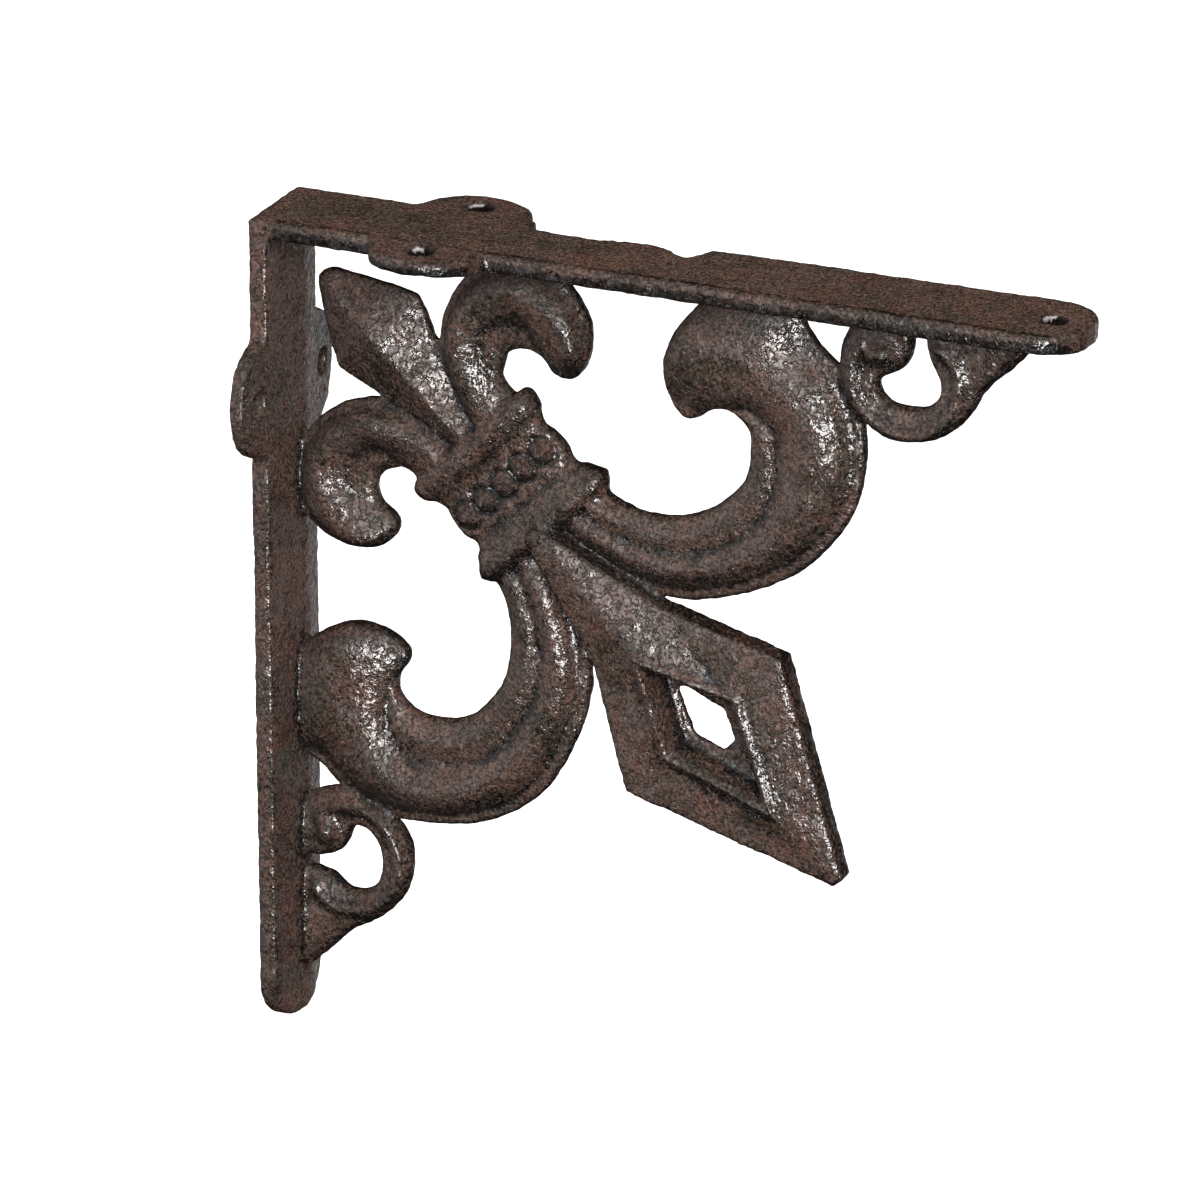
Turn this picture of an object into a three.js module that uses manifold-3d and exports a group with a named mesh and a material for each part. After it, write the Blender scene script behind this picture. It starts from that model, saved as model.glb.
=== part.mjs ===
// An ornate cast iron shelf bracket: one sand casting, painted rust brown.
// A shelf plate and a wall plate meet at a square corner, and a pierced brace of a spearhead,
// curled petals, a beaded collar, two pairs of scrolls and a lozenge fills the corner.
// Millimetres. X leads out from the wall, Y runs across the plates, Z is up.
// The origin is on the wall face, midway between the two wall ear screws.
import * as THREE from 'three';
import { mergeVertices } from 'three/addons/utils/BufferGeometryUtils.js';
import Module from 'manifold-3d';

// Overall sizes
const SHELF_REACH = 145;
const WALL_DROP = 145;
const EAR_SPAN = 35;

// Plates: both are thickest where the two halves of the mould met
const PLATE_WIDTH = 18.6;
const WALL_FOOT_WIDTH = 17.2;
const WALL_FOOT_FLAT = 0.6;
const PLATE_MIDDLE_THICKNESS = 4.2;
const NEAR_TAPER = 0.075;
const FAR_TAPER = 0.12;
const MOULD_LINE_Y = 3.8;
const SHELF_TIP_FLAT = 3.6;

// Screw ears and holes
const SHELF_EAR_REACH = 32.4;
const WALL_EAR_DROP = 31.5;
const EAR_HALF_LENGTH = 10;
const EAR_FILLET = 1.3;
const SCREW_HOLE = 4.4;
const EAR_HOLE_SPAN = 23.6;
const TIP_HOLE_INSET = 6.4;

// A flaw of this casting: the far edge of the shelf plate falls short and has a notch
const FLAW_START = 43;
const FLAW_END = 76.5;
const FLAW_DEPTH = 4;
const NOTCH_REACH = 72;
const NOTCH_DEPTH = 5.4;

// Brace: its middle line runs down at 45 degrees, a little nearer the wall than the corner's own
const BRACE_SHIFT = -1.9;
const BRACE_TRIM = 1.4;

// Spearhead, by distance down the brace
const SPEAR_TIP = 13.8;
const SPEAR_LEAN = -0.9;
const SPEAR_SHOULDER = 27.4;
const SPEAR_HALF_WIDTH = 10.4;
const SPEAR_RIDGE = 5.6;
const SPEAR_EDGE = 1.8;

// Collar
const COLLAR_TOP = 50.2;
const COLLAR_LENGTH = 21.8;
const COLLAR_NECK = 12.4;
const COLLAR_OFFSET = 0.5;
const COLLAR_HEIGHT = 4;
const BEAD_COUNT = 5;
const BEAD_PITCH = 4.75;
const BEAD_RADIUS = 1.75;
const BEAD_ROW = 60.3;

// Petals and scrolls, as heights above the flat back of the brace
const WEB_THICKNESS = 2.5;
const EDGE_ROUND = 0.45;
const PETAL_FLANGE = 1.3;
const SCROLL_FLANGE = 2.3;
// How much of the width the inner band gives up on its way round, towards the wall and the shelf
const WALL_BAND_NARROWING = 0.02;
const SHELF_BAND_NARROWING = 0.18;
const PETAL_BAND_RISE = 1.3;
const SCROLL_BAND_RISE = 1.7;
const SMALL_BAND_RISE = 0.9;
const WALL_LOBE_SPREAD = 1.2;
const WALL_LOBE_LIFT = 0.6;
const WALL_PETAL_DROP = 0.7;
const SHELF_PETAL_FLARE = [-0.77, 1.1];
const WALL_SCROLL_BULGE = [1.25, -1.5];
const SHELF_SCROLL_BULGE = [0.9, -0.35];
const WALL_SMALL_SCROLL_SHIFT = 0.5;
// How far an inner edge stands back from the drawn one, early and late on its way
const WALL_PETAL_RETREAT = [-0.65, 0.55];
const SHELF_PETAL_RETREAT = [0.8, 0.75];
const WALL_SCROLL_RETREAT = [-0.4, 0.8];
const SHELF_SCROLL_RETREAT = [0, 0.7];
const WALL_SMALL_SCROLL_RETREAT = 0.65;
const PETAL_CREST = 5.7;
const SCROLL_CREST = 5.7;
const SMALL_SCROLL_CREST = 3.5;
const SMALL_RIDGE_RADIUS = 1.1;
const CURL_HALF_LENGTH = 3;
const CURL_HALF_WIDTH = 2.2;
const CURL_HEIGHT = 5.2;
const CURL_REACH = 109.7;
const CURL_DEPTH = 9.4;

// Lozenge
const LOZENGE_TOP = 69;
const LOZENGE_TOP_HALF_WIDTH = 1.6;
const LOZENGE_MIDDLE = 111.9;
const LOZENGE_TIP = 146;
const LOZENGE_LEAN = 0.3;
const LOZENGE_TIP_LEAN = 0.2;
const LOZENGE_HALF_WIDTH = 19.8;
const LOZENGE_FORK = 92.4;
const LOZENGE_FORK_HALF_WIDTH = 8.6;
const LOZENGE_BLUNT = 1.2;
const LOZENGE_CREST = 6.6;
const LOZENGE_EDGE = 4.7;
const LOZENGE_TIP_EDGE = 3.9;
const RECESS_TOP = 98.4;
const RECESS_TIP = 127.8;
const RECESS_HALF_WIDTH = 7.5;
const RECESS_FLOOR = 1.3;
const RECESS_DRAFT = 1.5;
const LOZENGE_RIM = [7, 6, 5, 5.6];
const HOLE_TOP = 104.2;
const HOLE_FOOT = 117;
const HOLE_HALF_WIDTH = 3.6;
const HOLE_LEAN = -0.2;

const ROUND_STEP = Math.PI / 10;
const SHELF_TOP = WALL_EAR_DROP;
const DRILL_LENGTH = 30;

// Both plates are drawn lying flat under z = 0, with x leading away from the corner
const SHELF_PLACE = new THREE.Matrix4().makeTranslation(0, 0, SHELF_TOP);
const WALL_PLACE = new THREE.Matrix4().set(
  0, 0, -1, 0,
  0, 1, 0, 0,
  -1, 0, 0, SHELF_TOP,
  0, 0, 0, 1,
);

const wasm = await Module();
wasm.setup();

// A closed geometry set in its place and turned into a solid, with its faces set to point out
function solid(geometry, place = new THREE.Matrix4()) {
  const bare = geometry.clone().applyMatrix4(place);
  bare.deleteAttribute('normal');
  bare.deleteAttribute('uv');
  const merged = mergeVertices(bare, 1e-4);
  const vertProperties = new Float32Array(merged.attributes.position.array);
  const triVerts = new Uint32Array(merged.index.array);
  if (signedVolume(vertProperties, triVerts) < 0) {
    for (let i = 0; i < triVerts.length; i += 3) {
      [triVerts[i + 1], triVerts[i + 2]] = [triVerts[i + 2], triVerts[i + 1]];
    }
  }
  return new wasm.Manifold(new wasm.Mesh({ numProp: 3, vertProperties, triVerts }));
}

function signedVolume(points, triangles) {
  const a = new THREE.Vector3();
  const b = new THREE.Vector3();
  const c = new THREE.Vector3();
  let volume = 0;
  for (let i = 0; i < triangles.length; i += 3) {
    a.fromArray(points, 3 * triangles[i]);
    b.fromArray(points, 3 * triangles[i + 1]);
    c.fromArray(points, 3 * triangles[i + 2]);
    volume += a.dot(b.cross(c)) / 6;
  }
  return volume;
}

function toGeometry(body) {
  const mesh = body.getMesh();
  const positions = new Float32Array(mesh.numVert * 3);
  for (let i = 0; i < mesh.numVert; i += 1) {
    for (let k = 0; k < 3; k += 1) {
      positions[3 * i + k] = mesh.vertProperties[mesh.numProp * i + k];
    }
  }
  const geometry = new THREE.BufferGeometry();
  geometry.setAttribute('position', new THREE.BufferAttribute(positions, 3));
  geometry.setIndex(new THREE.BufferAttribute(new Uint32Array(mesh.triVerts), 1));
  geometry.computeVertexNormals();
  return geometry;
}

// A body skinned over rings of points that all have the same count, flat at both ends
function loft(rings) {
  const count = rings[0].length;
  const last = (rings.length - 1) * count;
  const index = [];
  for (let r = 0; r < rings.length - 1; r += 1) {
    for (let i = 0; i < count; i += 1) {
      const a = r * count + i;
      const b = r * count + (i + 1) % count;
      index.push(a, b, b + count, a, b + count, a + count);
    }
  }
  for (let i = 1; i < count - 1; i += 1) {
    index.push(0, i + 1, i, last, last + i, last + i + 1);
  }
  return meshOf(rings.flat(), index);
}

// A body skinned over rings that come round to the first again, as a frame around a hole
function loopLoft(rings) {
  const count = rings[0].length;
  const index = [];
  rings.forEach((ring, r) => {
    const next = ((r + 1) % rings.length) * count;
    for (let i = 0; i < count; i += 1) {
      const j = (i + 1) % count;
      index.push(r * count + i, r * count + j, next + j, r * count + i, next + j, next + i);
    }
  });
  return meshOf(rings.flat(), index);
}

function meshOf(points, index) {
  const positions = new Float32Array(points.flatMap((p) => p.toArray()));
  const geometry = new THREE.BufferGeometry();
  geometry.setAttribute('position', new THREE.BufferAttribute(positions, 3));
  geometry.setIndex(index);
  return geometry;
}

// A point of the brace: down its middle line, across it towards the shelf, and up from its back
function onBrace(along, across, height) {
  const side = across + BRACE_SHIFT;
  return new THREE.Vector3(
    (along + side) * Math.SQRT1_2,
    MOULD_LINE_Y - height,
    SHELF_TOP - (along - side) * Math.SQRT1_2,
  );
}

function arc(centreX, centreY, radiusX, radiusY, from, to) {
  const steps = Math.max(2, Math.round(Math.abs(to - from) / ROUND_STEP));
  return Array.from({ length: steps + 1 }, (_, i) => {
    const angle = from + (to - from) * i / steps;
    return new THREE.Vector2(centreX + radiusX * Math.cos(angle), centreY + radiusY * Math.sin(angle));
  });
}

// An ear's outline: half an ellipse on the plate's edge, with a fillet on either side
function ear(reach, edge) {
  const rise = EAR_SPAN / 2 - edge;
  const lift = Math.asin(EAR_FILLET / rise);
  const foot = EAR_HALF_LENGTH * Math.cos(lift) + EAR_FILLET;
  return [
    ...arc(reach - foot, edge + EAR_FILLET, EAR_FILLET, EAR_FILLET, -Math.PI / 2, 0),
    ...arc(reach, edge, EAR_HALF_LENGTH, rise, Math.PI - lift, lift).slice(1, -1),
    ...arc(reach + foot, edge + EAR_FILLET, EAR_FILLET, EAR_FILLET, Math.PI, Math.PI * 1.5),
  ];
}

// Half of a plate's outline, from the corner to the middle of its rounded end, on the +Y side
function plateSide(length, earReach, edge, end, flaw) {
  return [
    new THREE.Vector2(0, edge),
    ...ear(earReach, edge),
    ...flaw,
    ...arc(length - end.round, end.width / 2 - end.round, end.round, end.round, Math.PI / 2, 0),
  ];
}

// The stretch where the iron ran short, with the notch at its end
function shelfFlaw(edge) {
  const length = FLAW_END - FLAW_START;
  const shallow = [0.05, 0.2, 0.38, 0.55, 0.68].map((share) => new THREE.Vector2(
    FLAW_START + share * length,
    edge - FLAW_DEPTH * Math.sin(Math.PI * Math.min(1, 0.25 + share * 0.85)),
  ));
  return [
    ...shallow,
    new THREE.Vector2(NOTCH_REACH - 2.4, edge - NOTCH_DEPTH * 0.72),
    new THREE.Vector2(NOTCH_REACH - 1, edge - NOTCH_DEPTH),
    new THREE.Vector2(NOTCH_REACH + 1, edge - NOTCH_DEPTH),
    new THREE.Vector2(NOTCH_REACH + 2.4, edge - NOTCH_DEPTH * 0.75),
    new THREE.Vector2(NOTCH_REACH + 3.4, edge - NOTCH_DEPTH * 0.2),
    new THREE.Vector2(FLAW_END, edge - 0.6),
  ];
}

// A plate with its inner face ridged along the mould line, and drilled at the given points
function plate(length, earReach, end, flaw, holes, place) {
  const edge = PLATE_WIDTH / 2;
  const near = plateSide(length, earReach, edge, end, []);
  const far = plateSide(length, earReach, edge, end, flaw);
  const outline = new THREE.Shape([
    ...near.map((p) => new THREE.Vector2(p.x, -p.y)),
    ...far.reverse(),
  ]);
  const depth = PLATE_MIDDLE_THICKNESS * 2;
  const blank = new THREE.ExtrudeGeometry(outline, { depth, bevelEnabled: false });
  blank.translate(0, 0, -depth);
  const half = EAR_SPAN / 2 + MOULD_LINE_Y;
  const section = new THREE.Shape([
    new THREE.Vector2(-half, 0),
    new THREE.Vector2(-half, -PLATE_MIDDLE_THICKNESS + NEAR_TAPER * (half + MOULD_LINE_Y)),
    new THREE.Vector2(MOULD_LINE_Y, -PLATE_MIDDLE_THICKNESS),
    new THREE.Vector2(half, -PLATE_MIDDLE_THICKNESS + FAR_TAPER * (half - MOULD_LINE_Y)),
    new THREE.Vector2(half, 0),
  ]);
  const bar = new THREE.ExtrudeGeometry(section, { depth: length * 2, bevelEnabled: false });
  bar.rotateX(Math.PI / 2);
  bar.rotateZ(Math.PI / 2);
  bar.translate(-length / 2, 0, 0);
  let body = solid(blank, place).intersect(solid(bar, place));
  holes.forEach(([x, y]) => {
    const drill = new THREE.CylinderGeometry(SCREW_HOLE / 2, SCREW_HOLE / 2, DRILL_LENGTH, 16);
    drill.rotateX(Math.PI / 2);
    drill.translate(x, y, 0);
    body = body.subtract(solid(drill, place));
  });
  return body;
}

function shelfPlate() {
  const end = { width: PLATE_WIDTH, round: (PLATE_WIDTH - SHELF_TIP_FLAT) / 2 };
  const holes = [
    [SHELF_EAR_REACH, EAR_HOLE_SPAN / 2],
    [SHELF_EAR_REACH, -EAR_HOLE_SPAN / 2],
    [SHELF_REACH - TIP_HOLE_INSET, 0],
  ];
  return plate(SHELF_REACH, SHELF_EAR_REACH, end, shelfFlaw(PLATE_WIDTH / 2), holes, SHELF_PLACE);
}

function wallPlate() {
  const end = { width: WALL_FOOT_WIDTH, round: (WALL_FOOT_WIDTH - WALL_FOOT_FLAT) / 2 };
  const holes = [
    [WALL_EAR_DROP, EAR_HOLE_SPAN / 2],
    [WALL_EAR_DROP, -EAR_HOLE_SPAN / 2],
  ];
  return plate(WALL_DROP, WALL_EAR_DROP, end, [], holes, WALL_PLACE);
}

// Spearhead: four facets that rise to a ridge on the middle line
function spearhead() {
  const sections = [
    [SPEAR_TIP, 0.07, 0.5, 0.5, 1],
    [SPEAR_TIP + 1.2, 0.22, 0.62, 0.85, 0.9],
    [SPEAR_SHOULDER - 3, 0.85, 0.93, 1, 0.1],
    [SPEAR_SHOULDER, 1, 1, 1, 0],
    [SPEAR_SHOULDER + 2.5, 0.93, 0.98, 1, 0],
    [SPEAR_SHOULDER + 8, 0.72, 0.93, 1.2, 0],
    [SPEAR_SHOULDER + 15, 0.45, 0.86, 1.4, 0],
    [COLLAR_TOP + 2, 0.3, 0.78, 1.4, 0],
  ];
  return loft(sections.map(([along, width, ridge, edge, lean]) => {
    const half = SPEAR_HALF_WIDTH * width;
    const foot = half * 0.96;
    const rim = SPEAR_EDGE * edge;
    const middle = SPEAR_LEAN * lean;
    return [
      onBrace(along, middle - foot, 0),
      onBrace(along, middle + foot, 0),
      onBrace(along, middle + half, rim),
      onBrace(along, middle, SPEAR_RIDGE * ridge),
      onBrace(along, middle - half, rim),
    ];
  }));
}

// Collar: a moulding of two rolls and a beaded band, wrapped over the front and down both sides
function collar() {
  const profile = [
    [0, 1.11, 0.9], [0.023, 1.18, 1.18], [0.096, 1.2, 1.3], [0.174, 1.16, 1.2], [0.229, 1.06, 0.98],
    [0.321, 1, 0.88], [0.376, 1.05, 0.98], [0.477, 1.07, 1.02], [0.587, 1.05, 0.98], [0.642, 0.99, 0.88],
    [0.706, 1.02, 0.92], [0.743, 1.12, 1.12], [0.789, 1.16, 1.1], [0.826, 1.23, 1.24],
    [0.89, 1.29, 1.34], [0.954, 1.21, 1.2], [1, 1.1, 0.9],
  ];
  const around = [
    [-0.97, 0], [-1, 0.3], [-0.97, 0.62], [-0.88, 0.84], [-0.66, 0.95], [-0.25, 1],
    [0.25, 1], [0.66, 0.95], [0.88, 0.84], [0.97, 0.62], [1, 0.3], [0.97, 0],
  ];
  return loft(profile.map(([down, width, height]) => around.map(([across, up]) => onBrace(
    COLLAR_TOP + COLLAR_LENGTH * down,
    across * COLLAR_NECK * width + COLLAR_OFFSET,
    up * COLLAR_HEIGHT * height,
  ))));
}

function beads() {
  const ball = new THREE.IcosahedronGeometry(BEAD_RADIUS, 1);
  return Array.from({ length: BEAD_COUNT }, (_, i) => {
    const across = (i - (BEAD_COUNT - 1) / 2) * BEAD_PITCH;
    const sunk = COLLAR_HEIGHT - 0.6 - 0.004 * across * across;
    const seat = onBrace(BEAD_ROW, across + COLLAR_OFFSET, sunk);
    return ball.clone().translate(seat.x, seat.y, seat.z);
  });
}

// Height across a scroll, from its inner edge at 0 to its outer edge at 1: a low convex band
// as far as the crease, then a rounded swell as far as the brink of the flat outer flange.
// rise is the band's own, and fall says how far past its top the band runs; crown says how far
// across the swell its crest lies.
function swell(share, brink, { crease, crest, crown, rise, fall }) {
  if (share <= crease) {
    return WEB_THICKNESS + rise * Math.sin(Math.PI * fall * share / crease);
  }
  const across = Math.min(1, (share - crease) / (brink - crease));
  const hollow = WEB_THICKNESS + rise * Math.sin(Math.PI * fall);
  const base = hollow * (1 - across) + WEB_THICKNESS * across;
  const turn = across < crown ? 1 - across / crown : (across - crown) / (1 - crown);
  return base + (crest - base) * Math.pow(Math.cos(Math.PI / 2 * turn), 0.85);
}

// A scroll skinned between an inner and an outer edge that are given by paired points
// (across the brace, down it). side is 1 towards the shelf and -1 towards the wall.
// shape gives, for a share of the way, the section with the width of its flange, how far the
// inner edge stands back towards the outer one (retreat), and how far down and across the
// section sits from those points: shift moves both edges, flare the outer one.
function scroll(pairs, steps, side, shape) {
  const inner = new THREE.CatmullRomCurve3(pairs.map(([d, s]) => new THREE.Vector3(s, d, 0)));
  const outer = new THREE.CatmullRomCurve3(pairs.map(([, , d, s]) => new THREE.Vector3(s, d, 0)));
  const rings = [];
  for (let i = 0; i <= steps; i += 1) {
    const t = i / steps;
    const a = inner.getPoint(t);
    const b = outer.getPoint(t);
    const section = shape(t);
    const { crease, flange = 0, retreat = 0, shift = [0, 0], flare = [0, 0] } = section;
    a.lerp(b, retreat / a.distanceTo(b));
    const round = Math.min(0.2, EDGE_ROUND / a.distanceTo(b));
    const brink = 1 - Math.min(0.3, flange / a.distanceTo(b));
    const at = (share, height) => {
      const p = a.clone().lerp(b, share);
      const along = p.x + shift[0] + flare[0] * share;
      const across = p.y + shift[1] + flare[1] * share;
      return onBrace(along, side * across, height);
    };
    const swelling = [0.07, 0.2, 0.36, 0.53, 0.7, 0.86].map((v) => crease + (brink - crease) * v);
    const flat = flange > 0 ? [brink, 1 - round / 2] : [];
    const front = [round, crease * 0.5, crease, ...swelling, ...flat].map((u) => (
      at(u, swell(u, brink, section))
    ));
    rings.push([
      at(round, 0), at(0, WEB_THICKNESS / 2), ...front, at(1, WEB_THICKNESS / 2), at(1 - round, 0),
    ]);
  }
  return loft(rings);
}

// Rises from 0 to 1 between two shares of the way
function ramp(t, from, to) {
  return THREE.MathUtils.smoothstep(t, from, to);
}

function bump(t, from, full, still, to) {
  return ramp(t, from, full) * (1 - ramp(t, still, to));
}

// Edge points are (across inner, along inner, across outer, along outer)
function petal(side) {
  const pairs = [
    [12.4, 51.5, 1.2, 51.5], [12.4, 48.7, 2.4, 46], [12.8, 46.7, 4.6, 40.5], [14.3, 45.4, 7.8, 35.4],
    [16.4, 45, 12, 32.4], [18.2, 45.7, 17, 31], [19.7, 46.9, 22.2, 31.1], [20.5, 48.5, 27.4, 33.2],
    [20.5, 50, 31.3, 36.8], [20.3, 51.4, 33.6, 41], [20.2, 52.6, 33.7, 45.2], [20.7, 53.8, 32.2, 49.6],
    [22, 54.5, 29.2, 53], [24, 54.8, 26.2, 54.6],
  ];
  const [early, late] = side < 0 ? WALL_PETAL_RETREAT : SHELF_PETAL_RETREAT;
  return scroll(pairs, 26, side, (t) => ({
    crease: 0.05 + 0.31 * bump(t, 0.14, 0.28, 0.5, 0.64),
    crest: PETAL_CREST * (0.8 + 0.2 * ramp(t, 0, 0.3) - 0.5 * ramp(t, 0.84, 1)),
    crown: 0.68,
    rise: PETAL_BAND_RISE * (0.2 + 0.8 * bump(t, 0.14, 0.28, 0.5, 0.64)),
    fall: 0.6,
    flange: PETAL_FLANGE,
    retreat: side < 0
      ? early * bump(t, 0.06, 0.15, 0.24, 0.32) + late * bump(t, 0.32, 0.4, 0.55, 0.7)
      : early * bump(t, 0.26, 0.33, 0.7, 0.75) + late * bump(t, 0.7, 0.78, 0.86, 0.98),
    shift: side < 0 ? [WALL_PETAL_DROP * bump(t, 0.1, 0.3, 0.5, 0.7), 0] : [0, 0],
    flare: side > 0 ? SHELF_PETAL_FLARE.map((far) => far * bump(t, 0.15, 0.4, 0.55, 0.75)) : [0, 0],
  }));
}

function bigScroll(side) {
  const pairs = [
    [13, 69, 0.5, 69], [14.2, 73.4, 2, 76.5], [16.6, 78.2, 5, 84], [20.2, 82, 10.6, 92.4],
    [25.2, 84.7, 19.5, 98], [31, 85.7, 29, 101.4], [35.4, 85.3, 38.6, 102.8], [39, 83.2, 47.6, 101.3],
    [41.1, 80.7, 54.8, 96.7], [41.8, 78, 60, 90.4], [41.2, 75.4, 62.7, 83], [39.4, 73.3, 62.6, 75.4],
    [36.6, 73, 64.2, 68.6], [34.3, 71.6, 60, 62.5], [34.5, 68, 52, 58.9], [36.2, 64.6, 45, 59.2],
    [38.6, 61.9, 41.2, 60.5],
  ];
  const [early, late] = side < 0 ? WALL_SCROLL_BULGE : SHELF_SCROLL_BULGE;
  const [first, last] = side < 0 ? WALL_SCROLL_RETREAT : SHELF_SCROLL_RETREAT;
  const narrowing = side < 0 ? WALL_BAND_NARROWING : SHELF_BAND_NARROWING;
  return scroll(pairs, 34, side, (t) => ({
    crease: 0.44 - narrowing * ramp(t, 0.25, 0.5) - (0.38 - narrowing) * ramp(t, 0.52, 0.7),
    crest: SCROLL_CREST * (
      0.66 + 0.14 * ramp(t, 0, 0.12) + 0.16 * ramp(t, 0.3, 0.5) + 0.04 * ramp(t, 0.6, 0.75)
      - 0.45 * ramp(t, 0.88, 1)
    ),
    crown: 0.36 + 0.16 * ramp(t, 0.3, 0.5),
    rise: SCROLL_BAND_RISE * (1 - 0.8 * ramp(t, 0.52, 0.7)),
    fall: 0.82,
    flange: SCROLL_FLANGE * (1 - 0.9 * ramp(t, 0.66, 0.82)),
    shift: side < 0 ? [-WALL_LOBE_LIFT * ramp(t, 0.42, 0.6), WALL_LOBE_SPREAD * ramp(t, 0.5, 0.75)] : [0, 0],
    retreat: first * bump(t, 0.08, 0.13, 0.2, 0.27) + last * bump(t, 0.46, 0.54, 0.62, 0.68),
    flare: [early * bump(t, 0.12, 0.24, 0.32, 0.4) + late * bump(t, 0.38, 0.46, 0.5, 0.6), 0],
  }));
}

// The small scroll by the plate's end is given beside the plate: out along it and away from it
function smallScroll(side) {
  const beside = [
    [116.8, 4, 137, 4], [117.6, 9.4, 131.4, 10], [119.2, 12, 127.8, 13.4], [119.7, 14.5, 125.4, 17.8],
    [118.8, 16.6, 122, 21.6], [116.8, 17.9, 118, 24], [114.4, 18.2, 113.8, 24.7], [111.6, 17.9, 109.8, 24.3],
    [109.7, 16.5, 106.2, 21.7], [109, 14.7, 103.5, 17.4], [109.9, 13.6, 101.9, 12.8],
    [111.6, 12.8, 102.1, 9], [113.5, 11.5, 104.6, 4.4], [114.7, 9.4, 109.4, 3], [115.2, 4, 112.6, 3],
  ];
  const pairs = beside.map(([x, depth, x2, depth2]) => [
    (x - depth) * Math.SQRT1_2, (x + depth) * Math.SQRT1_2,
    (x2 - depth2) * Math.SQRT1_2, (x2 + depth2) * Math.SQRT1_2,
  ]);
  const [shift, retreat] = side < 0 ? [WALL_SMALL_SCROLL_SHIFT, WALL_SMALL_SCROLL_RETREAT] : [0, 0];
  return scroll(pairs, 26, side, (t) => ({
    crease: 0.24,
    crest: SMALL_SCROLL_CREST,
    crown: 0.45,
    rise: SMALL_BAND_RISE,
    fall: 0.62,
    retreat: retreat * bump(t, 0.08, 0.14, 0.7, 0.78),
    shift: [shift, -shift],
  }));
}

// A point on the small scroll, given beside the plate as its outline is
function onSmallScroll(x, depth, side, height) {
  const shift = side < 0 ? WALL_SMALL_SCROLL_SHIFT : 0;
  const along = (x + depth) * Math.SQRT1_2 + shift;
  const across = (x - depth) * Math.SQRT1_2 - shift;
  return onBrace(along, side * across, height);
}

// A round ridge that starts by the curl and follows the edge of the scroll's opening
function smallRidge(side) {
  const beside = [
    [119.1, 6.9], [121.8, 8.2], [123.5, 11], [123.5, 14.4], [121.6, 18.9], [118.3, 21.8], [113.3, 22.7],
    [108.6, 21], [105.4, 17.7], [104.6, 14], [105, 10.4], [107, 7.2],
  ];
  const path = new THREE.CatmullRomCurve3(beside.map(([x, depth]) => (
    onSmallScroll(x, depth, side, SMALL_SCROLL_CREST - 0.3)
  )));
  const section = new THREE.Shape(arc(0, 0, SMALL_RIDGE_RADIUS, SMALL_RIDGE_RADIUS, 0, Math.PI * 1.75));
  return new THREE.ExtrudeGeometry(section, { steps: 22, extrudePath: path, bevelEnabled: false });
}

function curl(side) {
  const seat = onSmallScroll(CURL_REACH, CURL_DEPTH, side, CURL_HEIGHT / 2);
  const [out, down] = side < 0 ? [CURL_HALF_WIDTH, CURL_HALF_LENGTH] : [CURL_HALF_LENGTH, CURL_HALF_WIDTH];
  return new THREE.IcosahedronGeometry(1, 2)
    .scale(out, CURL_HEIGHT / 2, down)
    .translate(seat.x, seat.y, seat.z);
}

// Lozenge: a ring of four facets around a deep recess whose floor is pierced.
// Each ring lists the right side from the top down as [along, half width, lean],
// then the left side back up.
function lozenge() {
  const ring = (right, height) => {
    const heights = right.map((_, i) => (Array.isArray(height) ? height[i] : height));
    const edge = (side) => right.map(([along, half, lean = 0], i) => (
      onBrace(along, side * half + lean, heights[i])
    ));
    return [...edge(1), ...edge(-1).reverse()];
  };
  const outline = [
    [LOZENGE_TOP, LOZENGE_TOP_HALF_WIDTH],
    [LOZENGE_FORK, LOZENGE_FORK_HALF_WIDTH, LOZENGE_LEAN],
    [LOZENGE_MIDDLE, LOZENGE_HALF_WIDTH, LOZENGE_LEAN],
    [LOZENGE_TIP, LOZENGE_BLUNT, LOZENGE_TIP_LEAN],
  ];
  const edge = [LOZENGE_CREST, LOZENGE_EDGE, LOZENGE_EDGE, LOZENGE_TIP_EDGE];
  const recess = (inset) => [
    [RECESS_TOP + inset * 1.6, 0.3],
    [(RECESS_TOP + LOZENGE_MIDDLE) / 2 + inset * 0.8, (RECESS_HALF_WIDTH - inset) / 2 + 0.2],
    [LOZENGE_MIDDLE, RECESS_HALF_WIDTH - inset],
    [RECESS_TIP - inset * 1.9, 0.4],
  ];
  const hole = [
    [HOLE_TOP, 0.3, HOLE_LEAN],
    [(HOLE_TOP + LOZENGE_MIDDLE) / 2, HOLE_HALF_WIDTH / 2 + 0.2, HOLE_LEAN],
    [LOZENGE_MIDDLE, HOLE_HALF_WIDTH, HOLE_LEAN],
    [HOLE_FOOT, HOLE_HALF_WIDTH * 0.4, HOLE_LEAN],
  ];
  return loopLoft([
    ring(outline, 0),
    ring(outline, edge),
    ring(recess(0), LOZENGE_RIM),
    ring(recess(RECESS_DRAFT), RECESS_FLOOR),
    ring(hole, RECESS_FLOOR),
    ring(hole, 0),
  ]);
}

function brace() {
  const sides = [1, -1].flatMap((side) => [
    petal(side), bigScroll(side), smallScroll(side), smallRidge(side), curl(side),
  ]);
  const pieces = [spearhead(), collar(), ...beads(), lozenge(), ...sides].map((form) => solid(form));
  const joined = pieces.reduce((body, piece) => body.add(piece));
  // The brace starts inside the plates, short of their outer faces
  const reach = SHELF_REACH + WALL_DROP;
  const corner = new THREE.BoxGeometry(reach, reach, reach);
  corner.translate(reach / 2 + BRACE_TRIM, 0, SHELF_TOP - reach / 2 - BRACE_TRIM);
  return joined.intersect(solid(corner));
}

const casting = shelfPlate().add(wallPlate()).add(brace());
const paintedIron = new THREE.MeshStandardMaterial({ color: 0x4a332e, roughness: 0.62, metalness: 0.35 });
const bracket = new THREE.Mesh(toGeometry(casting), paintedIron);
bracket.name = 'bracket_casting';

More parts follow.
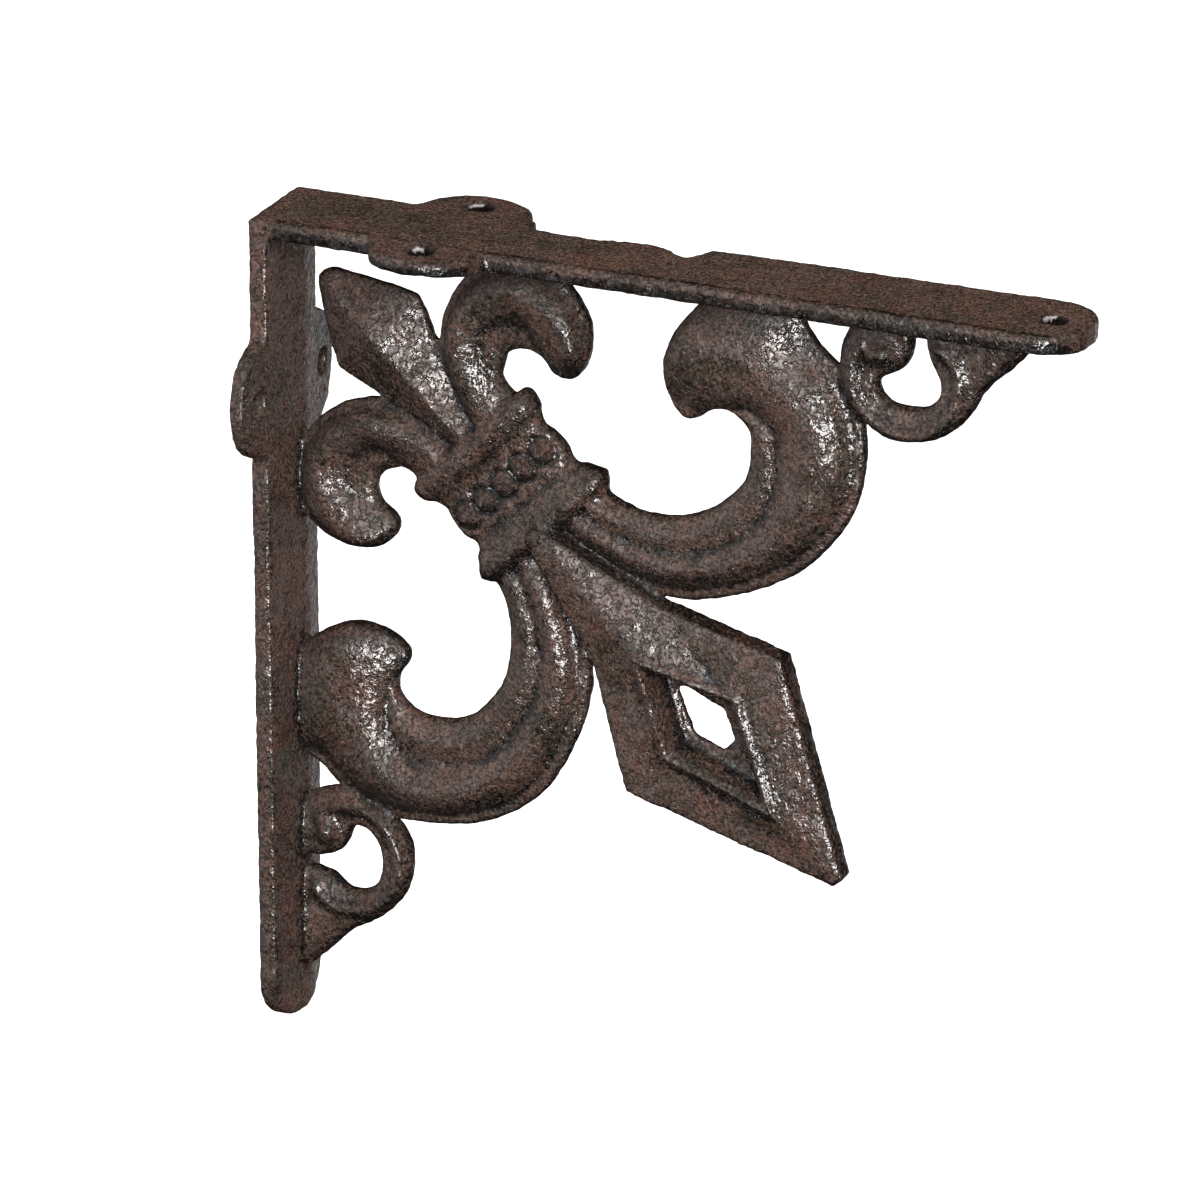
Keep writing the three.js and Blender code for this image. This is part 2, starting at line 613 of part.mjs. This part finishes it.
const group = new THREE.Group();
group.add(bracket);
export default group;
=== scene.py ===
# The finish of an ornate cast iron shelf bracket, built over its CAD casting.
import math

import bpy
import numpy as np
from mathutils import Matrix, Vector


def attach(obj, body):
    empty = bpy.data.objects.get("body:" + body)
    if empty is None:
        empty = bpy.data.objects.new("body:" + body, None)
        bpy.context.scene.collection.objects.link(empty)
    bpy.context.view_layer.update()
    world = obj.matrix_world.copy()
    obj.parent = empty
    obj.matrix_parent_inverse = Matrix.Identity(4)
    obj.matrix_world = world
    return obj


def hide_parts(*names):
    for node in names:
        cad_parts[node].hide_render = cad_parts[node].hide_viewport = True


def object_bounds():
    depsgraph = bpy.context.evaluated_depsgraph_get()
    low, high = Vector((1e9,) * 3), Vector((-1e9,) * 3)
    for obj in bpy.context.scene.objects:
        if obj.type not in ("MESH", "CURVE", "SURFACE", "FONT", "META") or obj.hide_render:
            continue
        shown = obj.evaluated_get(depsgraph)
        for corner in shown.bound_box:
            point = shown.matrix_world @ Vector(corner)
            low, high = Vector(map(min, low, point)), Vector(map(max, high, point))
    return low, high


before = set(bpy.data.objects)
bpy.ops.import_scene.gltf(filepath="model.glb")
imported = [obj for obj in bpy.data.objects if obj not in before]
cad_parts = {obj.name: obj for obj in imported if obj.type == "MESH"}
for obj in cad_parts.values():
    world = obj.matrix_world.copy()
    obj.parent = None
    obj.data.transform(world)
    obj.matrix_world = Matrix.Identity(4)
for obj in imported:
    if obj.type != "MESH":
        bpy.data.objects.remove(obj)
cad_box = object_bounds()


# Bracket casting
# The real bracket is one piece of grey iron poured in a sand mould, so its arrises are soft,
# its inner corners are filled and its faces are a little uneven. All sizes are in metres.
CASTING_NODE = "bracket_casting"
WELD_DISTANCE = 0.000001
SAND_VOXEL = 0.0004
SOFTENING = 0.5
SOFTENING_PASSES = 11
UNEVENNESS = 0.0003
UNEVENNESS_SCALE = 0.0045
SAND_MARKS = 0.00028
SAND_MARK_SCALE = 0.0014
LUMP_DETAIL = 2
MOST_TRIANGLES = 197000

bpy.ops.object.select_all(action="DESELECT")
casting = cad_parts[CASTING_NODE].copy()
casting.data = casting.data.copy()
casting.name = "bracket_iron"
bpy.context.collection.objects.link(casting)
casting.select_set(True)
bpy.context.view_layer.objects.active = casting
bpy.ops.mesh.customdata_custom_splitnormals_clear()
bpy.ops.object.mode_set(mode="EDIT")
bpy.ops.mesh.select_all(action="SELECT")
bpy.ops.mesh.remove_doubles(threshold=WELD_DISTANCE)
bpy.ops.mesh.normals_make_consistent(inside=False)
bpy.ops.object.mode_set(mode="OBJECT")


def finish_modifier(kind, **settings):
    """Adds a modifier to the piece in hand and applies it."""
    bpy.ops.object.modifier_add(type=kind)
    modifier = bpy.context.object.modifiers[-1]
    for name, value in settings.items():
        setattr(modifier, name, value)
    bpy.ops.object.modifier_apply(modifier=modifier.name)


finish_modifier("REMESH", mode="VOXEL", voxel_size=SAND_VOXEL)
finish_modifier("SMOOTH", factor=SOFTENING, iterations=SOFTENING_PASSES)

# Finer cuts of the mould: a raised bead of metal runs round the lozenge's recess, and each knob
# of the collar stands in a hollow of its own. Places are down the brace and across it, as in the
# casting's own drawing, and a facing is how squarely a surface looks to the front, up to 1.
SHELF_TOP = cad_box[1][2]
BRACE_SHIFT = -0.0019
RECESS_MIDDLE = 0.1119
RECESS_REACH_UP = 0.0135
RECESS_REACH_DOWN = 0.0159
RECESS_HALF_WIDTH = 0.0075
RIM_OFFSET = 0.0011
RIM_HALF_WIDTH = 0.0008
RIM_HEIGHT = 0.0006
RIM_FACINGS = (0.5, 1)
KNOB_COUNT = 5
KNOB_ROW = 0.0603
KNOB_PITCH = 0.00475
KNOB_OFFSET = 0.0005
KNOB_RADIUS = 0.001
KNOB_RISE = 0.0009
HOLLOW_RADIUS = 0.0023
HOLLOW_HALF_WIDTH = 0.0007
HOLLOW_DEPTH = 0.0006
LEAST_FACING = 0.3


def read_rows(items, field, width, kind):
    """What a mesh holds for each of its points or edges, as the rows of an array."""
    values = np.empty(len(items) * width, dtype=kind)
    items.foreach_get(field, values)
    return values.reshape(-1, width)


def ramp(values, start, end):
    """0 before the start, 1 past the end and even between them, upwards or downwards."""
    return np.clip((values - start) / (end - start), 0, 1)


points = read_rows(casting.data.vertices, "co", 3, np.float32)
normals = read_rows(casting.data.vertex_normals, "vector", 3, np.float32)
down = (points[:, 0] - (points[:, 2] - SHELF_TOP)) * math.sqrt(0.5)
across = (points[:, 0] + (points[:, 2] - SHELF_TOP)) * math.sqrt(0.5) - BRACE_SHIFT
reach = np.where(down < RECESS_MIDDLE, RECESS_REACH_UP, RECESS_REACH_DOWN)
slant = RECESS_HALF_WIDTH * reach / np.hypot(RECESS_HALF_WIDTH, reach)
outside = (np.abs(across) / RECESS_HALF_WIDTH + np.abs(down - RECESS_MIDDLE) / reach - 1) * slant
relief = RIM_HEIGHT * np.exp(-(((outside - RIM_OFFSET) / RIM_HALF_WIDTH) ** 2))
relief *= ramp(-normals[:, 1], *RIM_FACINGS)
for i in range(KNOB_COUNT):
    knob_across = KNOB_OFFSET + (i - (KNOB_COUNT - 1) / 2) * KNOB_PITCH
    from_knob = np.hypot(down - KNOB_ROW, across - knob_across)
    relief += KNOB_RISE * np.exp(-((from_knob / KNOB_RADIUS) ** 2))
    relief -= HOLLOW_DEPTH * np.exp(-(((from_knob - HOLLOW_RADIUS) / HOLLOW_HALF_WIDTH) ** 2))
points[:, 1] -= relief * (-normals[:, 1] > LEAST_FACING)
casting.data.vertices.foreach_set("co", points.ravel())
casting.data.update()

for height, scale in ((UNEVENNESS, UNEVENNESS_SCALE), (SAND_MARKS, SAND_MARK_SCALE)):
    lumps = bpy.data.textures.new("cast_lumps", type="CLOUDS")
    lumps.noise_scale = scale
    lumps.noise_depth = LUMP_DETAIL
    finish_modifier("DISPLACE", texture=lumps, texture_coords="LOCAL", strength=height)
casting.data.calc_loop_triangles()
kept_share = min(1.0, MOST_TRIANGLES / len(casting.data.loop_triangles))
finish_modifier("DECIMATE", ratio=kept_share)
bpy.ops.object.shade_smooth()

# Where the finish changes. Painted shade darkens the arrises and the hollows, and the brace's
# side walls and undersides. The shelf plate is darker along its near edge, with a dark line on
# top. The shelf's screw holes are painted black inside as shade, with a painted highlight, a
# near-white crescent, at the mouth. Slopes that face up are dull with dust, and the flat tops
# aren't. A pair of facings or slopes says where a change starts and where it is full.
CURVE_PASSES = 8
CURVE_FULL = 0.00025
PLATE_THICKNESS = 0.0042
PLATE_FILLET = 0.0008
PLATE_NEAR = -0.0093
SIDE_WALL_FACINGS = (0.55, 0.05)
UNDERSIDE_SLOPES = (0.15, 0.45)
NEAR_EDGE_FACING = 0.5
NEAR_EDGE_TOP = 0.0013
NEAR_EDGE_SPARE = 0.0006
DARK_LINE_INSET = 0.0012
DARK_LINE_HALF_WIDTH = 0.0003
LEVEL_SLOPE = 0.8
SHELF_BORES = ((0.0324, -0.0118), (0.0324, 0.0118), (0.1386, 0))
BORE_RADIUS = 0.0022
BORE_TOP = 0.0002
GLINT_DEPTH = 0.0006
GLINT_SIDE = 1.1 * BORE_RADIUS
DULL_SLOPES = (-0.02, 0.06)
DULL_LEAN = 0.6

points = read_rows(casting.data.vertices, "co", 3, np.float32)
normals = read_rows(casting.data.vertex_normals, "vector", 3, np.float32)
edges = read_rows(casting.data.edges, "vertices", 2, np.int32)
neighbours = np.bincount(edges.ravel(), minlength=len(points)).astype(np.float32)
smoothed = points.copy()
for _ in range(CURVE_PASSES):
    total = np.zeros_like(smoothed)
    for axis in range(3):
        total[:, axis] = np.bincount(edges[:, 0], smoothed[edges[:, 1], axis], len(points))
        total[:, axis] += np.bincount(edges[:, 1], smoothed[edges[:, 0], axis], len(points))
    smoothed = total / neighbours[:, None]
# The bend paints shade: darker on the arrises and in the creases, and most in the hollows.
bend = ((points - smoothed) * normals).sum(axis=1) / CURVE_FULL

below = SHELF_TOP - points[:, 2]
on_brace = np.minimum(points[:, 0], below) > PLATE_THICKNESS + PLATE_FILLET
# Painted shade on the brace's side walls and undersides, chosen by which way they face.
side_walls = ramp(np.abs(normals[:, 1]), *SIDE_WALL_FACINGS)
undersides = ramp(-normals[:, 2], *UNDERSIDE_SLOPES)
# The shelf plate's near edge is made darker, with a dark line on its top.
near_edge = (below > NEAR_EDGE_TOP) & (below < PLATE_THICKNESS + NEAR_EDGE_SPARE)
near_edge &= -normals[:, 1] > NEAR_EDGE_FACING
from_line = points[:, 1] - PLATE_NEAR - DARK_LINE_INSET
dark_line = np.exp(-((from_line / DARK_LINE_HALF_WIDTH) ** 2)) * (normals[:, 2] > LEVEL_SLOPE)
dull = ramp(normals[:, 2] - DULL_LEAN * normals[:, 0], *DULL_SLOPES)

# Painted shade fills the shelf's screw holes, and a painted highlight, a near-white crescent, lies at
# each mouth.
bore_shade = np.zeros(len(points))
bore_glint = np.zeros(len(points))
for x, y in SHELF_BORES:
    right = points[:, 0] - x
    back = points[:, 1] - y
    inside = (np.hypot(right, back) < BORE_RADIUS) & (below > BORE_TOP)
    bore_shade[inside] = 1
    bore_glint[inside & (below < GLINT_DEPTH) & (back - right > GLINT_SIDE)] = 1

for name, values in (
    ("edge", np.abs(bend)),
    ("hollow", -bend),
    ("walls", np.maximum(side_walls, undersides) * on_brace),
    ("rims", np.maximum(near_edge, dark_line) * (points[:, 0] > PLATE_THICKNESS)),
    ("bore_shade", bore_shade),
    ("bore_glint", bore_glint),
    ("dull", dull * (normals[:, 2] < LEVEL_SLOPE)),
):
    attribute = casting.data.attributes.new(name, "FLOAT", "POINT")
    attribute.data.foreach_set("value", np.clip(values, 0, 1).astype(np.float32))


def linear(hex_colour):
    """A linear colour from an sRGB hex value."""
    channels = [int(hex_colour[i:i + 2], 16) / 255 for i in (1, 3, 5)]
    return [c / 12.92 if c <= 0.04045 else ((c + 0.055) / 1.055) ** 2.4 for c in channels] + [1.0]


def add_node(tree, kind, settings=None, inputs=None):
    """Adds a node; an input is a value, or another node's output that is linked to it."""
    node = tree.nodes.new(kind)
    for name, value in (settings or {}).items():
        setattr(node, name, value)
    for name, value in (inputs or {}).items():
        if isinstance(value, bpy.types.NodeSocket):
            tree.links.new(value, node.inputs[name])
        else:
            node.inputs[name].default_value = value
    return node


# Semi-gloss brown enamel on rough sand-cast iron: a dark red-brown film that keeps the crinkle
# of the sand, so a lamp's reflection breaks up into sparkle. A black patina lies over it in
# specks, and the same black is painted in as shade, closing up along the arrises, in the hollows
# and on the side walls.
BROWN = "#54453D"
RED_BROWN = "#5B433A"
# Olive is a painted sheen, the grey-olive that a lamp's reflection gives.
OLIVE = "#4B4237"
PATINA_AND_SHADE_BLACK = "#100D0B"
GLINT_WHITE = "#C9C4BF"
ENAMEL_IOR = 1.5
ENAMEL_ROUGHNESS = 0.19
DUST_ROUGHNESS = 0.31

# A pattern's size in metres, its levels of detail and their strength. The grain of moulding sand
# is about 0.2 mm, which is too fine to show, so shades and grain are drawn about twice as coarse.
PATTERNS = {
    "blotches": (0.007, 5, 0.6),
    "patches": (0.012, 4, 0.65),
    "specks": (0.0007, 4, 0.7),
    "crinkle": (0.0014, 3, 0.55),
    "shades": (0.0005, 2, 0.6),
    "grain": (0.0004, 1, 0.5),
}
CRINKLE_DEPTH = 0.0003
CRACK_DEPTH = 0.00014
GRAIN_DEPTH = 0.00006

# Where a pattern, from 0 to 1, starts to show and where it is full. The black of patina and
# painted shade adds up the specks, a share of the patches and the shares of the attributes, so it
# runs past 1.
CRACK_MIDDLE = 0.5
CRACK_HALF_WIDTH = 0.05
BLOTCHES_FROM = 0.38
BLOTCHES_FULL = 0.62
OLIVE_FROM = 0.5
OLIVE_FULL = 0.64
OLIVE_MOST = 0.7
PATINA_IN_PATCHES = 0.5
# The attributes' shares paint shade on the arrises, in the hollows, on the side walls and undersides
# and in the screw holes, and darken the shelf plate's near edge.
PATINA_AND_SHADE_SHARES = {"edge": 0.15, "hollow": 0.22, "walls": 0.19, "rims": 0.3, "bore_shade": 2}
PATINA_AND_SHADE_FROM = 0.76
PATINA_AND_SHADE_FULL = 1.06
PATINA_AND_SHADE_MOST = 0.95
SHADE_OF_CRACKS = 0.1
SHADES_FROM = 0.42
SHADES_FULL = 0.7
DARKEST = 0.3
BRIGHTEST = 1.76

paint = bpy.data.materials.new("painted_cast_iron")
paint.use_nodes = True
tree = paint.node_tree
tree.nodes.clear()
place = add_node(tree, "ShaderNodeTexCoord").outputs["Object"]
pattern = {}
for name, (size, detail, strength) in PATTERNS.items():
    pattern[name] = add_node(tree, "ShaderNodeTexNoise", None, {
        "Vector": place, "Scale": 1 / size, "Detail": detail, "Roughness": strength,
    }).outputs["Fac"]

# The enamel's browns, with olive in the wider patches: a painted sheen, the grey-olive of a lamp's
# reflection.
blotches = add_node(tree, "ShaderNodeMapRange", None, {
    "Value": pattern["blotches"], "From Min": BLOTCHES_FROM, "From Max": BLOTCHES_FULL,
})
browns = add_node(tree, "ShaderNodeMix", {"data_type": "RGBA"}, {
    "Factor": blotches.outputs["Result"], "A": linear(BROWN), "B": linear(RED_BROWN),
})
olive_sheen_share = add_node(tree, "ShaderNodeMapRange", None, {
    "Value": pattern["patches"], "From Min": OLIVE_FROM, "From Max": OLIVE_FULL, "To Max": OLIVE_MOST,
})
with_olive_sheen = add_node(tree, "ShaderNodeMix", {"data_type": "RGBA"}, {
    "Factor": olive_sheen_share.outputs["Result"], "A": browns.outputs["Result"], "B": linear(OLIVE),
})

# The black patina over them, and the same black painted in as shade.
patina_and_shade_cover = add_node(tree, "ShaderNodeMath", {"operation": "MULTIPLY_ADD"}, {
    0: pattern["patches"], 1: PATINA_IN_PATCHES, 2: pattern["specks"],
})
for name, share in PATINA_AND_SHADE_SHARES.items():
    attribute = add_node(tree, "ShaderNodeAttribute", {"attribute_name": name})
    patina_and_shade_cover = add_node(tree, "ShaderNodeMath", {"operation": "MULTIPLY_ADD"}, {
        0: attribute.outputs["Fac"], 1: share, 2: patina_and_shade_cover.outputs[0],
    })
patina_and_shade = add_node(tree, "ShaderNodeMapRange", None, {
    "Value": patina_and_shade_cover.outputs[0], "From Min": PATINA_AND_SHADE_FROM, "From Max": PATINA_AND_SHADE_FULL, "To Max": PATINA_AND_SHADE_MOST,
})
coloured = add_node(tree, "ShaderNodeMix", {"data_type": "RGBA"}, {
    "Factor": patina_and_shade.outputs["Result"], "A": with_olive_sheen.outputs["Result"], "B": linear(PATINA_AND_SHADE_BLACK),
})

# Narrow cracks run where the crinkle passes its middle height, and painted shade makes them darker
# too.
from_middle = add_node(tree, "ShaderNodeMath", {"operation": "SUBTRACT"}, {
    0: pattern["crinkle"], 1: CRACK_MIDDLE,
})
from_crack = add_node(tree, "ShaderNodeMath", {"operation": "ABSOLUTE"}, {
    0: from_middle.outputs[0],
})
between_cracks = add_node(tree, "ShaderNodeMapRange", {"interpolation_type": "SMOOTHSTEP"}, {
    "Value": from_crack.outputs[0], "From Max": CRACK_HALF_WIDTH,
})
shades = add_node(tree, "ShaderNodeMath", {"operation": "MULTIPLY_ADD"}, {
    0: between_cracks.outputs["Result"], 1: SHADE_OF_CRACKS, 2: pattern["shades"],
})
brightness = add_node(tree, "ShaderNodeMapRange", None, {
    "Value": shades.outputs[0], "From Min": SHADES_FROM, "From Max": SHADES_FULL,
    "To Min": DARKEST, "To Max": BRIGHTEST,
})
speckled = add_node(tree, "ShaderNodeHueSaturation", None, {
    "Value": brightness.outputs["Result"], "Color": coloured.outputs["Result"],
})
# A painted highlight: a near-white crescent at the mouth of each shelf screw hole.
painted_glint = add_node(tree, "ShaderNodeAttribute", {"attribute_name": "bore_glint"})
finished = add_node(tree, "ShaderNodeMix", {"data_type": "RGBA"}, {
    "Factor": painted_glint.outputs["Fac"], "A": speckled.outputs["Color"], "B": linear(GLINT_WHITE),
})

# Three bumps, each laid on the one before it.
normal = {}
for height, depth in (
    (pattern["crinkle"], CRINKLE_DEPTH),
    (between_cracks.outputs["Result"], CRACK_DEPTH),
    (pattern["grain"], GRAIN_DEPTH),
):
    bump = add_node(tree, "ShaderNodeBump", None, {
        "Height": height, "Strength": 1.0, "Distance": depth, **normal,
    })
    normal = {"Normal": bump.outputs["Normal"]}
dust = add_node(tree, "ShaderNodeAttribute", {"attribute_name": "dull"})
roughness = add_node(tree, "ShaderNodeMath", {"operation": "MULTIPLY_ADD"}, {
    0: dust.outputs["Fac"], 1: DUST_ROUGHNESS, 2: ENAMEL_ROUGHNESS,
})
shader = add_node(tree, "ShaderNodeBsdfPrincipled", None, {
    "Base Color": finished.outputs["Result"],
    "Roughness": roughness.outputs[0],
    "IOR": ENAMEL_IOR,
    **normal,
})
add_node(tree, "ShaderNodeOutputMaterial", None, {"Surface": shader.outputs["BSDF"]})

casting.data.materials.clear()
casting.data.materials.append(paint)
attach(casting, "root")
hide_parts(CASTING_NODE)


# Floor
# A plain white floor well below the bracket, which hangs clear of it as on its wall. It throws
# no light or reflection back at the bracket.
FLOOR_SIZE = 12
FLOOR_DROP = 0.45
FLOOR_WHITE = "#F4F4F3"
FLOOR_ROUGHNESS = 0.9

bpy.ops.mesh.primitive_plane_add(size=FLOOR_SIZE, location=(0, 0, cad_box[0][2] - FLOOR_DROP))
floor = bpy.context.object
floor.name = "studio_floor"
white = bpy.data.materials.new("studio_white")
white.use_nodes = True
white_shader = white.node_tree.nodes["Principled BSDF"]
white_shader.inputs["Base Color"].default_value = linear(FLOOR_WHITE)
white_shader.inputs["Roughness"].default_value = FLOOR_ROUGHNESS
floor.data.materials.append(white)
floor.visible_glossy = False
floor.visible_diffuse = False


# Studio light
# A softbox low in front gives the sparkle and nothing else, one over the right shoulder lights
# without sheen, and dim ones stand on the left and overhead. Behind stand a wide one without
# sheen for the back and a narrow one that greys the wall plate's far side.
LIT_CENTRE = Vector((0.07, 0, -0.0385))
SOFTBOX_DISTANCE = 1.6
FLOOR_LAMP_DISTANCE = 3
ROOM_LIGHT = 0.33


def looking_at(centre, azimuth, elevation, distance, roll=0):
    """The place and turn of a lamp or camera that looks at a centre; azimuth 0 is in front."""
    turn = math.radians(azimuth)
    rise = math.radians(elevation)
    back = Vector((math.sin(turn) * math.cos(rise), -math.cos(turn) * math.cos(rise), math.sin(rise)))
    level = back.to_track_quat("Z", "Y").to_matrix()
    rolled = level @ Matrix.Rotation(math.radians(roll), 3, "Z")
    return Matrix.Translation(centre + back * distance) @ rolled.to_4x4()


def add_softbox(name, azimuth, elevation, width, height, power, distance=SOFTBOX_DISTANCE):
    bpy.ops.object.light_add(type="AREA")
    lamp = bpy.context.object
    lamp.name = name
    lamp.matrix_world = looking_at(LIT_CENTRE, azimuth, elevation, distance)
    lamp.data.shape = "RECTANGLE"
    lamp.data.size = width
    lamp.data.size_y = height
    lamp.data.energy = power
    return lamp


sparkle = add_softbox("front_softbox", azimuth=18, elevation=-4, width=0.6, height=0.6, power=46)
sparkle.visible_diffuse = False
fill = add_softbox("right_softbox", azimuth=32, elevation=32, width=0.8, height=0.8, power=22)
fill.visible_glossy = False
add_softbox("left_softbox", azimuth=-72, elevation=8, width=1.2, height=1.2, power=9)
add_softbox("top_softbox", azimuth=20, elevation=75, width=1.2, height=1.2, power=7.5)
back_fill = add_softbox("back_softbox", azimuth=205, elevation=20, width=1.2, height=1.2, power=9)
back_fill.visible_glossy = False
add_softbox("rear_softbox", azimuth=178, elevation=-18, width=0.5, height=0.9, power=1.1)

# The floor has a lamp of its own, so that it stays pale all over without lighting the bracket.
floor_lamp = add_softbox(
    "floor_lamp", azimuth=0, elevation=89, width=4, height=4, power=230, distance=FLOOR_LAMP_DISTANCE
)
floor_only = bpy.data.collections.new("floor_only")
floor_only.objects.link(floor)
floor_lamp.light_linking.receiver_collection = floor_only

# The room adds a soft even light without sheen.
world = bpy.data.worlds.new("studio_room")
bpy.context.scene.world = world
world.use_nodes = True
world.node_tree.nodes["Background"].inputs["Color"].default_value = (1, 1, 1, 1)
world.node_tree.nodes["Background"].inputs["Strength"].default_value = ROOM_LIGHT
world.cycles_visibility.glossy = False
bpy.context.scene.view_settings.view_transform = "Standard"


# Camera
# The photograph's view, with a long lens: from the front, 24 degrees round towards the shelf's
# end and 22 up. Angles are in degrees, distances in metres and the lens in millimetres.
VIEW_CENTRE = Vector((0.05916, 0, -0.02956))
VIEW_AZIMUTH = 23.98
VIEW_ELEVATION = 21.57
VIEW_ROLL = 0.03
VIEW_DISTANCE = 1.704
FOCAL_LENGTH = 310.2
SENSOR_WIDTH = 36

lens = bpy.data.cameras.new("photo_view")
lens.sensor_width = SENSOR_WIDTH
lens.lens = FOCAL_LENGTH
lens.clip_start = 0.1
lens.clip_end = 50
camera = bpy.data.objects.new("photo_view", lens)
bpy.context.collection.objects.link(camera)
camera.matrix_world = looking_at(
    VIEW_CENTRE, VIEW_AZIMUTH, VIEW_ELEVATION, VIEW_DISTANCE, VIEW_ROLL
)
bpy.context.scene.camera = camera
